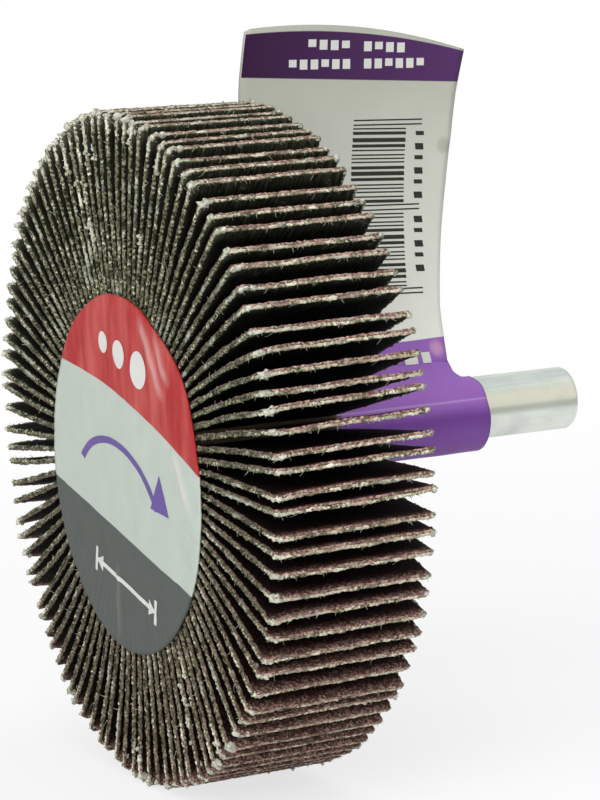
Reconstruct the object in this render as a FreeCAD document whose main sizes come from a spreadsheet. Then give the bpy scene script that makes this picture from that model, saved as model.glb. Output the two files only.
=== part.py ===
import FreeCAD, Part
import Sketcher
import math
import os

# Mounted flap wheel: abrasive cloth flaps seated in a slotted resin core on a steel spindle,
# with a round printed label on the front and a folded paper tag hanging on the spindle.
# The wheel turns about +Y. The label faces -Y, the spindle leaves along +Y, the tag stands up +Z.
# All sizes are millimetres.

doc = FreeCAD.newDocument("flap_wheel")
V = FreeCAD.Vector

SIZES = {
    "wheel_radius": 30.0,
    "wheel_width": 15.0,
    "core_radius": 14.0,
    "slot_depth": 1.0,
    "flap_thickness": 0.68,
    "bond_gap": 0.02,
    "resin_web": 0.08,
    "flap_lean": 0.65,
    "flap_trim": 0.3,
    "dish_radius": 10.5,
    "dish_depth": 0.8,
    "label_radius": 16.5,
    "label_thickness": 0.3,
    "label_shift_x": 0.7,
    "label_drop": 2.4,
    "spindle_radius": 3.0,
    "spindle_relief": 0.2,
    "spindle_free_length": 31.3,
    "spindle_end_round": 0.4,
    "spindle_cover": 1.6,
    "anchor_groove_depth": 0.5,
    "anchor_groove_width": 1.4,
    "tag_gap": 0.8,
    "tag_paper": 0.25,
    "loop_length": 20.2,
    "loop_play": 0.55,
    "loop_slip": 0.05,
    "waist_length": 17.8,
    "top_length": 24.0,
    "tag_left_top": 37.2,
    "tag_right_top": 34.1,
    "join_height": 5.0,
    "tag_bow": 3.0,
    "tag_lean": 4.0,
}

sheet = doc.addObject("Spreadsheet::Sheet", "sizes")
for row, (name, value) in enumerate(SIZES.items(), start=1):
    sheet.set("A%d" % row, name)
    sheet.set("B%d" % row, str(value))
    sheet.setAlias("B%d" % row, name)
doc.recompute()


def size(name):
    return float(getattr(sheet, name))


FLAT = "FlatFace"
NODE_COUNT = 34


def plane(body, role):
    return [item for item in body.Origin.OriginFeatures if item.Role == role][0]


def new_body(name, label=None):
    body = doc.addObject("PartDesign::Body", name)
    body.Label = label or name
    body.Placement = FreeCAD.Placement(V(0, 0, 0), FreeCAD.Rotation())
    return body


def new_sketch(body, name, role):
    sketch = body.newObject("Sketcher::SketchObject", name)
    sketch.AttachmentSupport = [(plane(body, role), "")]
    sketch.MapMode = FLAT
    return sketch


def bind(sketch, constraint, expression):
    index = sketch.addConstraint(constraint)
    sketch.setExpression("Constraints[%d]" % index, expression)
    return index


def join_lines(sketch, points):
    """Closed outline of straight lines, joined end to end."""
    count = len(points)
    for index in range(count):
        start = points[index]
        end = points[(index + 1) % count]
        sketch.addGeometry(Part.LineSegment(start, end), False)
    for index in range(count):
        sketch.addConstraint(Sketcher.Constraint("Coincident", index, 2, (index + 1) % count, 1))


# Spindle: one revolved bar. Its embedded end has anchor grooves held by the resin. A relieved
# stretch runs under the paper loop, and the full radius beyond the loop is the gripping length.
half_flap = size("flap_thickness") / 2
loop_start = size("wheel_width") + size("tag_gap")
loop_end = loop_start + size("loop_length")
spindle_end = size("wheel_width") + size("spindle_free_length")
grip_start = loop_end + size("spindle_relief")
relieved = size("spindle_radius") - size("spindle_relief")
groove_floor = relieved - size("anchor_groove_depth")
end_round = size("spindle_end_round")
embedded = size("wheel_width") - size("spindle_cover")

spindle = new_body("spindle")
sketch = new_sketch(spindle, "spindle_outline", "XY_Plane")
groove_width = size("anchor_groove_width")
GROOVES = 2
land = (embedded - size("dish_depth") - GROOVES * groove_width) / (GROOVES + 1)
outline = [V(0, size("spindle_cover"), 0), V(relieved, size("spindle_cover"), 0)]
reach = size("spindle_cover")
for groove in range(GROOVES):
    reach += land
    outline.append(V(relieved, reach, 0))
    outline.append(V(groove_floor, reach, 0))
    reach += groove_width
    outline.append(V(groove_floor, reach, 0))
    outline.append(V(relieved, reach, 0))
outline.append(V(relieved, loop_end, 0))
outline.append(V(size("spindle_radius"), grip_start, 0))
outline.append(V(size("spindle_radius"), spindle_end - end_round, 0))
outline.append(V(size("spindle_radius") - end_round, spindle_end, 0))
outline.append(V(0, spindle_end, 0))
join_lines(sketch, outline)
last = len(outline)
grip_line = last - 4
bind(sketch, Sketcher.Constraint("DistanceX", -1, 1, grip_line, 1, size("spindle_radius")),
     "sizes.spindle_radius")
bind(sketch, Sketcher.Constraint("DistanceY", -1, 1, last - 2, 1, spindle_end),
     "sizes.wheel_width + sizes.spindle_free_length")
bind(sketch, Sketcher.Constraint("DistanceX", -1, 1, 1, 1, relieved),
     "sizes.spindle_radius - sizes.spindle_relief")
bind(sketch, Sketcher.Constraint("DistanceY", -1, 1, 0, 1, size("spindle_cover")),
     "sizes.spindle_cover")
turned = spindle.newObject("PartDesign::Revolution", "spindle_bar")
turned.Profile = sketch
turned.ReferenceAxis = (plane(spindle, "Y_Axis"), [""])
turned.Angle = 360
spindle.Tip = turned

# Resin core: a round block with one slot for each flap root, a shallow dish at the rear,
# and the spindle's own shape cut out of it.
slot_bottom = size("core_radius") - size("slot_depth")
slot_width = size("flap_thickness") + 2 * size("bond_gap")
pitch_at_bottom = slot_width + size("resin_web")
flap_count = int(2 * math.pi * slot_bottom / pitch_at_bottom)

core_blank = new_body("core_blank")
sketch = new_sketch(core_blank, "core_circle", "XZ_Plane")
sketch.addGeometry(Part.Circle(V(0, 0, 0), V(0, 0, 1), size("core_radius")), False)
sketch.addConstraint(Sketcher.Constraint("Coincident", 0, 3, -1, 1))
bind(sketch, Sketcher.Constraint("Radius", 0, size("core_radius")), "sizes.core_radius")
block = core_blank.newObject("PartDesign::Pad", "core_block")
block.Profile = sketch
block.setExpression("Length", "sizes.wheel_width")
block.Reversed = True

dish_sketch = new_sketch(core_blank, "dish_circle", "XZ_Plane")
dish_sketch.setExpression("AttachmentOffset.Base.z", "-sizes.wheel_width")
dish_sketch.addGeometry(Part.Circle(V(0, 0, 0), V(0, 0, 1), size("dish_radius")), False)
dish_sketch.addConstraint(Sketcher.Constraint("Coincident", 0, 3, -1, 1))
bind(dish_sketch, Sketcher.Constraint("Radius", 0, size("dish_radius")), "sizes.dish_radius")
dish = core_blank.newObject("PartDesign::Pocket", "dish")
dish.Profile = dish_sketch
dish.setExpression("Length", "sizes.dish_depth")
dish.Reversed = True

slot_sketch = new_sketch(core_blank, "slot_outline", "XZ_Plane")
slot_top = size("core_radius") + size("slot_depth")
half_slot = slot_width / 2
join_lines(slot_sketch, [V(-half_slot, slot_bottom, 0), V(half_slot, slot_bottom, 0),
                         V(half_slot, slot_top, 0), V(-half_slot, slot_top, 0)])
slot_sketch.addConstraint(Sketcher.Constraint("Vertical", 1))
slot_sketch.addConstraint(Sketcher.Constraint("Symmetric", 0, 1, 0, 2, -2))
bind(slot_sketch, Sketcher.Constraint("Distance", 0, slot_width),
     "sizes.flap_thickness + 2 * sizes.bond_gap")
bind(slot_sketch, Sketcher.Constraint("DistanceY", -1, 1, 0, 1, slot_bottom),
     "sizes.core_radius - sizes.slot_depth")
bind(slot_sketch, Sketcher.Constraint("Distance", 1, 2 * size("slot_depth")),
     "2 * sizes.slot_depth")
slot = core_blank.newObject("PartDesign::Pocket", "slot")
slot.Profile = slot_sketch
slot.Type = "ThroughAll"
slot.Midplane = True
slots = core_blank.newObject("PartDesign::PolarPattern", "slots")
slots.Originals = [slot]
slots.Axis = (plane(core_blank, "Y_Axis"), [""])
slots.Angle = 360
slots.Occurrences = flap_count
core_blank.Tip = slots

resin_core = doc.addObject("Part::Cut", "resin_core")
resin_core.Label = "resin_core"
resin_core.Base = core_blank
resin_core.Tool = spindle

# Front label: a round disc lying on the core and on the inner part of the flap edges.
front_label = new_body("front_label")
sketch = new_sketch(front_label, "label_circle", "XZ_Plane")
label_centre = V(-size("label_shift_x"), -size("label_drop"), 0)
sketch.addGeometry(Part.Circle(label_centre, V(0, 0, 1), size("label_radius")), False)
bind(sketch, Sketcher.Constraint("Radius", 0, size("label_radius")), "sizes.label_radius")
bind(sketch, Sketcher.Constraint("DistanceX", 0, 3, -1, 1, size("label_shift_x")),
     "sizes.label_shift_x")
bind(sketch, Sketcher.Constraint("DistanceY", 0, 3, -1, 1, size("label_drop")),
     "sizes.label_drop")
disc = front_label.newObject("PartDesign::Pad", "label_disc")
disc.Profile = sketch
disc.setExpression("Length", "sizes.label_thickness")
front_label.Tip = disc


# Flaps: each is a straight root in its slot, then a bow to one side up to the rim. The flaps
# lean and stray together and singly, but never so far that one closes the gap to the next.
def flap_profile(sketch, offset, trim):
    side = 1 if offset > 0 else -1
    offset = max(abs(offset), 0.02)
    thickness = size("flap_thickness")
    base = size("core_radius")
    root = base - size("slot_depth") + size("bond_gap")
    rim = size("wheel_radius") - trim
    corner_x = offset - half_flap
    corner_z = math.sqrt(rim * rim - corner_x * corner_x)
    height = corner_z - base
    outer = (height * height + offset * offset) / (2 * offset)
    turn = 2 * math.atan2(offset, height)
    centre = V(side * (outer - half_flap), base, 0)
    inner = outer - thickness

    def on_arc(radius):
        return V(centre.x - side * radius * math.cos(turn), base + radius * math.sin(turn), 0)

    first, final = (math.pi - turn, math.pi) if side > 0 else (0, turn)
    arc_tip, arc_base = (1, 2) if side > 0 else (2, 1)
    near = side * half_flap
    sketch.addGeometry([
        Part.LineSegment(V(-near, root, 0), V(near, root, 0)),
        Part.LineSegment(V(near, root, 0), V(near, base, 0)),
        Part.ArcOfCircle(Part.Circle(centre, V(0, 0, 1), inner), first, final),
        Part.LineSegment(on_arc(inner), on_arc(outer)),
        Part.ArcOfCircle(Part.Circle(centre, V(0, 0, 1), outer), first, final),
        Part.LineSegment(V(-near, base, 0), V(-near, root, 0)),
    ], False)
    sketch.addConstraint([
        Sketcher.Constraint("Coincident", 0, 2, 1, 1),
        Sketcher.Constraint("Coincident", 1, 2, 2, arc_base),
        Sketcher.Constraint("Coincident", 2, arc_tip, 3, 1),
        Sketcher.Constraint("Coincident", 3, 2, 4, arc_tip),
        Sketcher.Constraint("Coincident", 4, arc_base, 5, 1),
        Sketcher.Constraint("Coincident", 5, 2, 0, 1),
    ])
    bind(sketch, Sketcher.Constraint("Distance", 0, thickness), "sizes.flap_thickness")
    bind(sketch, Sketcher.Constraint("DistanceY", -1, 1, 0, 1, root),
         "sizes.core_radius - sizes.slot_depth + sizes.bond_gap")
    bind(sketch, Sketcher.Constraint("DistanceY", -1, 1, 1, 2, base), "sizes.core_radius")


def scatter(number, seed):
    """A repeatable stray from -1 to 1."""
    value = math.sin(number * 12.9898 + seed * 78.233) * 43758.5453
    return 2 * (value - math.floor(value)) - 1


def swell(number, waves, shift):
    return math.sin(2 * math.pi * (waves * number / flap_count + shift))


tip_gap = 2 * math.pi * size("wheel_radius") / flap_count - size("flap_thickness")
flaps = []
for number in range(flap_count):
    lean = size("flap_lean") + 0.55 * tip_gap * swell(number, 2, 0.1)
    lean += 0.3 * tip_gap * swell(number, 5, 0.35)
    tip_offset = lean + 0.24 * tip_gap * scatter(number, 1)
    trim = size("flap_trim") * (0.5 + 0.5 * scatter(number, 3))
    name = "flap_%03d" % (number + 1)
    body = new_body(name)
    profile = new_sketch(body, name + "_profile", "XZ_Plane")
    flap_profile(profile, tip_offset, trim)
    cloth = body.newObject("PartDesign::Pad", name + "_cloth")
    cloth.Profile = profile
    cloth.setExpression("Length", "sizes.wheel_width")
    cloth.Reversed = True
    body.Tip = cloth
    turn = FreeCAD.Rotation(V(0, 1, 0), 360.0 * number / flap_count)
    body.Placement = FreeCAD.Placement(V(0, 0, 0), turn)
    flaps.append(body)

# Neighbouring flaps are kept together in a fixed number of nodes.
flap_nodes = []
for index in range(NODE_COUNT):
    group = doc.addObject("Part::Compound", "flaps_%02d" % (index + 1))
    group.Label = group.Name
    group.Links = flaps[index * flap_count // NODE_COUNT:(index + 1) * flap_count // NODE_COUNT]
    flap_nodes.append(group)

# Paper tag: a strip folded round the spindle and stuck to itself, so a loop hangs on the
# spindle and a bowed double sheet stands above it. Its side outline is trimmed to the tag's shape.
paper = size("tag_paper")
loop_inner = relieved + size("loop_play")
loop_outer = loop_inner + paper
loop_centre_z = relieved + size("loop_slip") - loop_inner - 2 * size("loop_slip")
join = size("join_height")
top = max(size("tag_left_top"), size("tag_right_top")) + 1.0
rise = top - join

# The sheet's middle line: an arc through the join and the top with the bow between them.
chord_x = -size("tag_lean")
chord = math.hypot(chord_x, rise)
bow = size("tag_bow")
bow_radius = chord * chord / (8 * bow) + bow / 2
along = V(chord_x / chord, rise / chord, 0)
across = V(along.y, -along.x, 0)
bow_centre = V(chord_x / 2, join + rise / 2, 0) + across * (bow_radius - bow)
join_angle = math.atan2(join - bow_centre.y, -bow_centre.x)
top_angle = math.atan2(top - bow_centre.y, chord_x - bow_centre.x)
if join_angle < 0:
    join_angle += 2 * math.pi
if top_angle < 0:
    top_angle += 2 * math.pi


def on_bow(radius, angle):
    return V(bow_centre.x + radius * math.cos(angle), bow_centre.y + radius * math.sin(angle), 0)


def tangent_point(point, radius, side):
    """Where a line from the point touches the loop circle, on the given side."""
    reach_x = point.x
    reach_z = point.y - loop_centre_z
    distance = math.hypot(reach_x, reach_z)
    angle = math.atan2(reach_z, reach_x) - side * math.acos(radius / distance)
    return V(radius * math.cos(angle), loop_centre_z + radius * math.sin(angle), 0), angle


tag_strip = new_body("tag_strip")
sketch = new_sketch(tag_strip, "tag_section", "XZ_Plane")
right_join = on_bow(bow_radius - paper, join_angle)
left_join = on_bow(bow_radius + paper, join_angle)
right_top = on_bow(bow_radius - paper, top_angle)
left_top = on_bow(bow_radius + paper, top_angle)
right_touch, right_angle = tangent_point(right_join, loop_outer, 1)
left_touch, left_angle = tangent_point(left_join, loop_outer, -1)
loop_circle = Part.Circle(V(0, loop_centre_z, 0), V(0, 0, 1), loop_outer)
sketch.addGeometry([
    Part.LineSegment(left_top, right_top),
    Part.ArcOfCircle(Part.Circle(bow_centre, V(0, 0, 1), bow_radius - paper), top_angle, join_angle),
    Part.LineSegment(right_join, right_touch),
    Part.ArcOfCircle(loop_circle, left_angle, right_angle + 2 * math.pi),
    Part.LineSegment(left_touch, left_join),
    Part.ArcOfCircle(Part.Circle(bow_centre, V(0, 0, 1), bow_radius + paper), top_angle, join_angle),
], False)
for pair in ((0, 2, 1, 1), (1, 2, 2, 1), (2, 2, 3, 2), (3, 1, 4, 1), (4, 2, 5, 2), (5, 1, 0, 1)):
    sketch.addConstraint(Sketcher.Constraint("Coincident", *pair))
bind(sketch, Sketcher.Constraint("Radius", 3, loop_outer),
     "sizes.spindle_radius - sizes.spindle_relief + sizes.loop_play + sizes.tag_paper")
bind(sketch, Sketcher.Constraint("Distance", 0, 2 * paper), "2 * sizes.tag_paper")
strip = tag_strip.newObject("PartDesign::Pad", "tag_paper_strip")
strip.Profile = sketch
strip.setExpression("Length", "2 * sizes.wheel_width + sizes.tag_gap + sizes.top_length")
strip.Reversed = True

# The hollow inside the loop follows the same lines one paper thickness further in.
apex = V(0, join, 0) - V(0, 2.2 * paper, 0)
inner_right, inner_right_angle = tangent_point(apex, loop_inner, 1)
inner_left, inner_left_angle = tangent_point(apex, loop_inner, -1)
hollow_sketch = new_sketch(tag_strip, "loop_hollow", "XZ_Plane")
hollow_circle = Part.Circle(V(0, loop_centre_z, 0), V(0, 0, 1), loop_inner)
hollow_sketch.addGeometry([
    Part.LineSegment(apex, inner_right),
    Part.ArcOfCircle(hollow_circle, inner_left_angle, inner_right_angle + 2 * math.pi),
    Part.LineSegment(inner_left, apex),
], False)
for pair in ((0, 2, 1, 2), (1, 1, 2, 1), (2, 2, 0, 1)):
    hollow_sketch.addConstraint(Sketcher.Constraint("Coincident", *pair))
bind(hollow_sketch, Sketcher.Constraint("Radius", 1, loop_inner),
     "sizes.spindle_radius - sizes.spindle_relief + sizes.loop_play")
hollow = tag_strip.newObject("PartDesign::Pocket", "loop_bore")
hollow.Profile = hollow_sketch
hollow.Type = "ThroughAll"
hollow.Midplane = True
tag_strip.Tip = hollow

tag_side = new_body("tag_side")
sketch = new_sketch(tag_side, "tag_outline", "YZ_Plane")
waist_end = loop_start + size("waist_length")
top_end = loop_start + size("top_length")
bottom = loop_centre_z - 2 * loop_outer
left_top_z = size("tag_left_top")
right_top_z = size("tag_right_top")
shoulder = V(loop_end - 1.1, join - 1.9, 0)
waist_low = V(waist_end, join - 0.9, 0)
waist_high = V(waist_end + 0.1, join + 1.0, 0)
right_corner = V(top_end, right_top_z, 0)
left_corner = V(loop_start + 0.5, left_top_z, 0)
flank_middle = V((waist_end + top_end) / 2 + 0.35, (join + right_top_z) / 2, 0)
crown_middle = V(loop_start + 0.52 * size("top_length"), (left_top_z + right_top_z) / 2 + 0.85, 0)
sketch.addGeometry([
    Part.LineSegment(V(loop_start, bottom, 0), V(loop_end, bottom, 0)),
    Part.LineSegment(V(loop_end, bottom, 0), V(loop_end, join - 1.9, 0)),
    Part.LineSegment(V(loop_end, join - 1.9, 0), shoulder),
    Part.LineSegment(shoulder, waist_low),
    Part.LineSegment(waist_low, waist_high),
], False)
flank = Part.Arc(right_corner, flank_middle, waist_high)
crown = Part.Arc(left_corner, crown_middle, right_corner)
sketch.addGeometry([
    flank,
    crown,
    Part.LineSegment(left_corner, V(loop_start, left_top_z * 0.83, 0)),
    Part.LineSegment(V(loop_start, left_top_z * 0.83, 0), V(loop_start, bottom, 0)),
], False)
bind(sketch, Sketcher.Constraint("Distance", 0, size("loop_length")), "sizes.loop_length")
outline_pad = tag_side.newObject("PartDesign::Pad", "tag_outline_block")
outline_pad.Profile = sketch
outline_pad.setExpression("Length", "2 * sizes.wheel_radius")
outline_pad.Midplane = True
tag_side.Tip = outline_pad

shank_tag = doc.addObject("Part::MultiCommon", "shank_tag")
shank_tag.Label = "shank_tag"
shank_tag.Shapes = [tag_strip, tag_side]

doc.recompute()

NODES = [spindle, resin_core, front_label, shank_tag] + flap_nodes
for item in doc.Objects:
    if "Invalid" in item.State or "Error" in item.State:
        raise RuntimeError("object not valid: " + item.Name)
for node in NODES:
    if node.Shape.isNull() or not node.Shape.isValid():
        raise RuntimeError("shape not valid: " + node.Name)

os.makedirs("parts", exist_ok=True)
for node in NODES:
    node.Shape.exportStep("parts/%s.step" % node.Label)
print("nodes", len(NODES), "flaps", flap_count)
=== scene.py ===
import math
import random

import bmesh
import bpy
from mathutils import Matrix, Vector, noise


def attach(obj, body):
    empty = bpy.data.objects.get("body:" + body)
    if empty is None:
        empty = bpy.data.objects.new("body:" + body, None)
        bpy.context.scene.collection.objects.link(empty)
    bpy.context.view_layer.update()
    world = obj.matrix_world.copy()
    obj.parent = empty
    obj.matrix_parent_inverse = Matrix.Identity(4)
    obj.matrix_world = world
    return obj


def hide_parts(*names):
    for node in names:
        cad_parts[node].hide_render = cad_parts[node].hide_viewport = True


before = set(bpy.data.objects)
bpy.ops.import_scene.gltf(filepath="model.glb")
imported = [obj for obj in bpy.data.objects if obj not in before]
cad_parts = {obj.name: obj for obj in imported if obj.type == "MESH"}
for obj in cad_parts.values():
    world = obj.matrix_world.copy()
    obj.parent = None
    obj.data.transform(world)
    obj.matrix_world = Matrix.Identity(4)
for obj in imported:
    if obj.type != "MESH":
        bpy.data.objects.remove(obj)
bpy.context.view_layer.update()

# Sizes in millimetres, the same as the solids'. Pieces are shaped in millimetres and then
# brought to metres as they are finished.
MM = 0.001
RIM = 30.0
FRAYED_RIM = 30.5
WIDTH = 15.0
CORE = 14.0
SLOT_FLOOR = 13.0
FLAP_THICKNESS = 0.68
CLOTH_THICKNESS = 0.36
EDGE_INSET = 0.12
EDGE_FOOT = SLOT_FLOOR + 0.2
YARN_PITCH = 0.47
FLAP_COUNT = 102
NODE_COUNT = 34
SPINDLE = 3.0
SPINDLE_RELIEVED = 2.8
SPINDLE_END = 46.3
LOOP_START = 15.8
LOOP_END = 36.0
LOOP_RADIUS = 3.6
LOOP_DROP = -0.55
JOIN = 5.0
TAG_LEFT = 16.0
TAG_WIDTH = 24.0
TAG_FOOT = JOIN - 0.45
TAG_THICKNESS = 0.42
LOOP_THICKNESS = 0.22
END_ROUND = 0.4
FLOOR = -31.1


def add_object(name, data):
    made = bpy.data.objects.new(name, data)
    bpy.context.scene.collection.objects.link(made)
    return made


def add_mesh(bm, name, materials):
    """Turn a bmesh into an object of the scene."""
    mesh = bpy.data.meshes.new(name)
    bm.to_mesh(mesh)
    bm.free()
    for material in materials:
        mesh.materials.append(material)
    return add_object(name, mesh)


def finish_piece(bm, name, materials, nodes):
    """Turn a millimetre bmesh into a finished object in metres that rides on the root body."""
    bmesh.ops.scale(bm, vec=(MM, MM, MM), verts=bm.verts)
    piece = add_mesh(bm, name, materials)
    for polygon in piece.data.polygons:
        polygon.use_smooth = True
    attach(piece, "root")
    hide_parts(*nodes)


def pour(part, bm):
    """Move all of a part into the bmesh of the piece that it belongs to."""
    scratch = bpy.data.meshes.new("scratch")
    part.to_mesh(scratch)
    part.free()
    bm.from_mesh(scratch)
    bpy.data.meshes.remove(scratch)


def new_grid(columns, rows):
    """A flat grid from -0.5 to 0.5 each way, ready to be laid in its place."""
    bm = bmesh.new()
    bmesh.ops.create_grid(bm, x_segments=columns, y_segments=rows, size=0.5)
    return bm


def grow_ring(bm, ring):
    """Extrude a ring of edges once, and give the new ring's points and edges."""
    grown = bmesh.ops.extrude_edge_only(bm, edges=ring)["geom"]
    verts = {item for item in grown if isinstance(item, bmesh.types.BMVert)}
    edges = [item for item in grown if isinstance(item, bmesh.types.BMEdge)
             and item.verts[0] in verts and item.verts[1] in verts]
    return list(verts), edges


def face_out(bm):
    bmesh.ops.recalc_face_normals(bm, faces=bm.faces)


def turn_round(bm, angle, axis):
    matrix = Matrix.Rotation(angle, 3, axis)
    bmesh.ops.rotate(bm, verts=bm.verts, cent=(0, 0, 0), matrix=matrix)


def wobble(x, y, z):
    """A smooth repeatable stray from about -1 to 1."""
    return noise.noise(Vector((x, y, z)))


# Shader building blocks.

PRINT_BLUR = 0.045


class Shading:
    """A material or node group being wired, with short calls for its nodes."""

    def __init__(self, tree, material=None):
        self.tree = tree
        self.material = material
        self.surface = tree.nodes["Principled BSDF"].inputs if material else None

    def node(self, kind, **settings):
        made = self.tree.nodes.new(kind)
        for key, value in settings.items():
            setattr(made, key, value)
        return made

    def feed(self, socket, value):
        if isinstance(value, bpy.types.NodeSocket):
            self.tree.links.new(value, socket)
        elif value is not None:
            socket.default_value = value

    def fed(self, kind, **values):
        """A new node with its named inputs fed."""
        made = self.node(kind)
        for key, value in values.items():
            self.feed(made.inputs[key], value)
        return made

    def math(self, operation, a, b=None, c=None, clamp=False):
        made = self.node("ShaderNodeMath", operation=operation, use_clamp=clamp)
        for socket, value in zip(made.inputs, (a, b, c)):
            self.feed(socket, value)
        return made.outputs[0]

    def times(self, a, b, clamp=False):
        return self.math("MULTIPLY", a, b, clamp=clamp)

    def plus(self, a, b):
        return self.math("ADD", a, b)

    def swing(self, value, reach):
        """A value from 0 to 1, brought to swing either side of 0."""
        return self.times(self.math("SUBTRACT", value, 0.5), reach)

    def ramp(self, value, low, high, out_low=0.0, out_high=1.0, smooth=True):
        made = self.node("ShaderNodeMapRange")
        made.interpolation_type = "SMOOTHSTEP" if smooth else "LINEAR"
        for socket, item in zip(made.inputs, (value, low, high, out_low, out_high)):
            self.feed(socket, item)
        return made.outputs[0]

    def mix(self, factor, a, b, blend="MIX"):
        made = self.node("ShaderNodeMix", data_type="RGBA", blend_type=blend)
        self.feed(made.inputs[0], factor)
        self.feed(made.inputs[6], a)
        self.feed(made.inputs[7], b)
        return made.outputs[2]

    def noise(self, vector, scale, detail=3.0, roughness=0.55, distortion=0.0):
        made = self.fed("ShaderNodeTexNoise", Vector=vector, Scale=scale, Detail=detail,
                        Roughness=roughness, Distortion=distortion)
        return made.outputs["Fac"]

    def cells(self, vector, scale, output="Distance"):
        return self.fed("ShaderNodeTexVoronoi", Vector=vector, Scale=scale).outputs[output]

    def stretch(self, vector, scale):
        return self.fed("ShaderNodeMapping", Vector=vector, Scale=scale).outputs[0]

    def place(self):
        return self.node("ShaderNodeTexCoord").outputs["Object"]

    def cloth_map(self):
        return self.node("ShaderNodeUVMap", uv_map="cloth").outputs[0]

    def attribute(self, name):
        return self.node("ShaderNodeAttribute", attribute_name=name).outputs["Fac"]

    def axes(self, vector):
        return self.fed("ShaderNodeSeparateXYZ", Vector=vector).outputs

    def millimetres(self, axis):
        return self.times(self.axes(self.place())[axis], 1 / MM)

    def grey(self, value):
        """A colour whose three channels hold the same value."""
        made = self.node("ShaderNodeCombineXYZ")
        for socket in made.inputs:
            self.feed(socket, value)
        return made.outputs[0]

    def line(self, along, slope, height):
        return self.math("MULTIPLY_ADD", along, slope, height)

    def above(self, value, edge):
        """1 above an edge and 0 below it, in millimetres."""
        return self.ramp(self.math("SUBTRACT", value, edge), -PRINT_BLUR, PRINT_BLUR)

    def stripe(self, value, middle, outside, inside, strength=1.0):
        """Strongest along a line and 0 away from it."""
        away = self.math("ABSOLUTE", self.math("SUBTRACT", value, middle))
        return self.ramp(away, outside, inside, 0.0, strength)

    def spot(self, across, up, centre, spread, strength):
        """Strongest at a place and 0 around it; the spread is in square millimetres."""
        away = [self.math("POWER", self.math("SUBTRACT", value, at), 2.0)
                for value, at in zip((across, up), centre)]
        return self.ramp(self.math("ADD", *away), spread, 0.0, 0.0, strength)

    def bump(self, height, strength, distance):
        made = self.fed("ShaderNodeBump", Height=height, Strength=strength, Distance=distance)
        return made.outputs[0]

    def coat(self, colour, height, strength, distance):
        """Feed the surface its colour and its small relief, and give the finished material."""
        self.feed(self.surface["Base Color"], colour)
        self.feed(self.surface["Normal"], self.bump(height, strength, distance))
        return self.material

    def looked_at(self):
        """1 on rays that see a thing, straight or in a gloss, and 0 on rays that only light it."""
        ray = self.node("ShaderNodeLightPath").outputs
        seen = self.math("MAXIMUM", ray["Is Camera Ray"], ray["Is Glossy Ray"])
        return self.math("MAXIMUM", seen, ray["Is Transmission Ray"])

    def use(self, group, **values):
        made = self.node("ShaderNodeGroup", node_tree=group)
        for key, value in values.items():
            self.feed(made.inputs[key.replace("_", " ")], value)
        return made.outputs


def new_group(name, inputs, outputs):
    tree = bpy.data.node_groups.new(name, "ShaderNodeTree")
    for label, kind, value in inputs:
        socket = tree.interface.new_socket(label, in_out="INPUT", socket_type=kind)
        if value is not None:
            socket.default_value = value
    for label, kind in outputs:
        tree.interface.new_socket(label, in_out="OUTPUT", socket_type=kind)
    shading = Shading(tree)
    source = shading.node("NodeGroupInput")
    sink = shading.node("NodeGroupOutput")
    return tree, shading, source.outputs, sink.inputs


def new_material(name, roughness=0.9, metallic=0.0, specular=0.5):
    material = bpy.data.materials.new(name)
    material.use_nodes = True
    shading = Shading(material.node_tree, material)
    for key, value in (("Roughness", roughness), ("Metallic", metallic),
                       ("Specular IOR Level", specular)):
        shading.surface[key].default_value = value
    return shading


VALUE = "NodeSocketFloat"
COLOUR = "NodeSocketColor"
VECTOR = "NodeSocketVector"


def lint_group():
    """Pale lint and dust: large loose patches broken up by fine fibres."""
    tree, s, given, out = new_group(
        "lint", [("Point", VECTOR, None), ("Amount", VALUE, 0.5), ("Spread", VALUE, 260.0)],
        [("Mask", VALUE)])
    patches = s.noise(given["Point"], given["Spread"], 2.0, 0.5)
    threads = s.noise(given["Point"], 2600.0, 2.0, 0.6, 1.5)
    low = s.math("SUBTRACT", 0.78, s.times(given["Amount"], 0.3))
    mask = s.ramp(patches, low, s.plus(low, 0.12))
    broken = s.ramp(threads, 0.35, 0.6)
    s.feed(out["Mask"], s.times(mask, broken))
    return tree


def paper_group():
    """Printed paper: faint mottling of the ink and a slightly fibrous surface."""
    tree, s, given, out = new_group(
        "printed_paper", [("Point", VECTOR, None), ("Ink", COLOUR, (1, 1, 1, 1)),
                          ("Mottle", VALUE, 0.06)],
        [("Ink", COLOUR), ("Height", VALUE)])
    cloud = s.noise(given["Point"], 340.0, 4.0, 0.6)
    speck = s.noise(given["Point"], 5200.0, 2.0, 0.5)
    shade = s.plus(s.plus(s.swing(cloud, given["Mottle"]), 1.0), s.swing(speck, 0.05))
    s.feed(out["Ink"], s.mix(1.0, given["Ink"], s.grey(shade), "MULTIPLY"))
    s.feed(out["Height"], s.plus(cloud, s.times(speck, 0.15)))
    return tree


def depth_group():
    """Painted shade between the flaps: darker the further in from the rim."""
    tree, s, given, out = new_group("painted_gap_shade", [("Height", VALUE, 29.0)], [("Shade", COLOUR)])
    deep = s.ramp(given["Height"], 22.0, RIM - 1.5, 0.5, 1.0, smooth=False)
    shade = s.times(deep, s.ramp(given["Height"], RIM - 2.1, RIM - 0.15, 0.2, 1.0))
    s.feed(out["Shade"], s.grey(shade))
    return tree


LINT = lint_group()
PAPER = paper_group()
DEPTH = depth_group()


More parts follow.
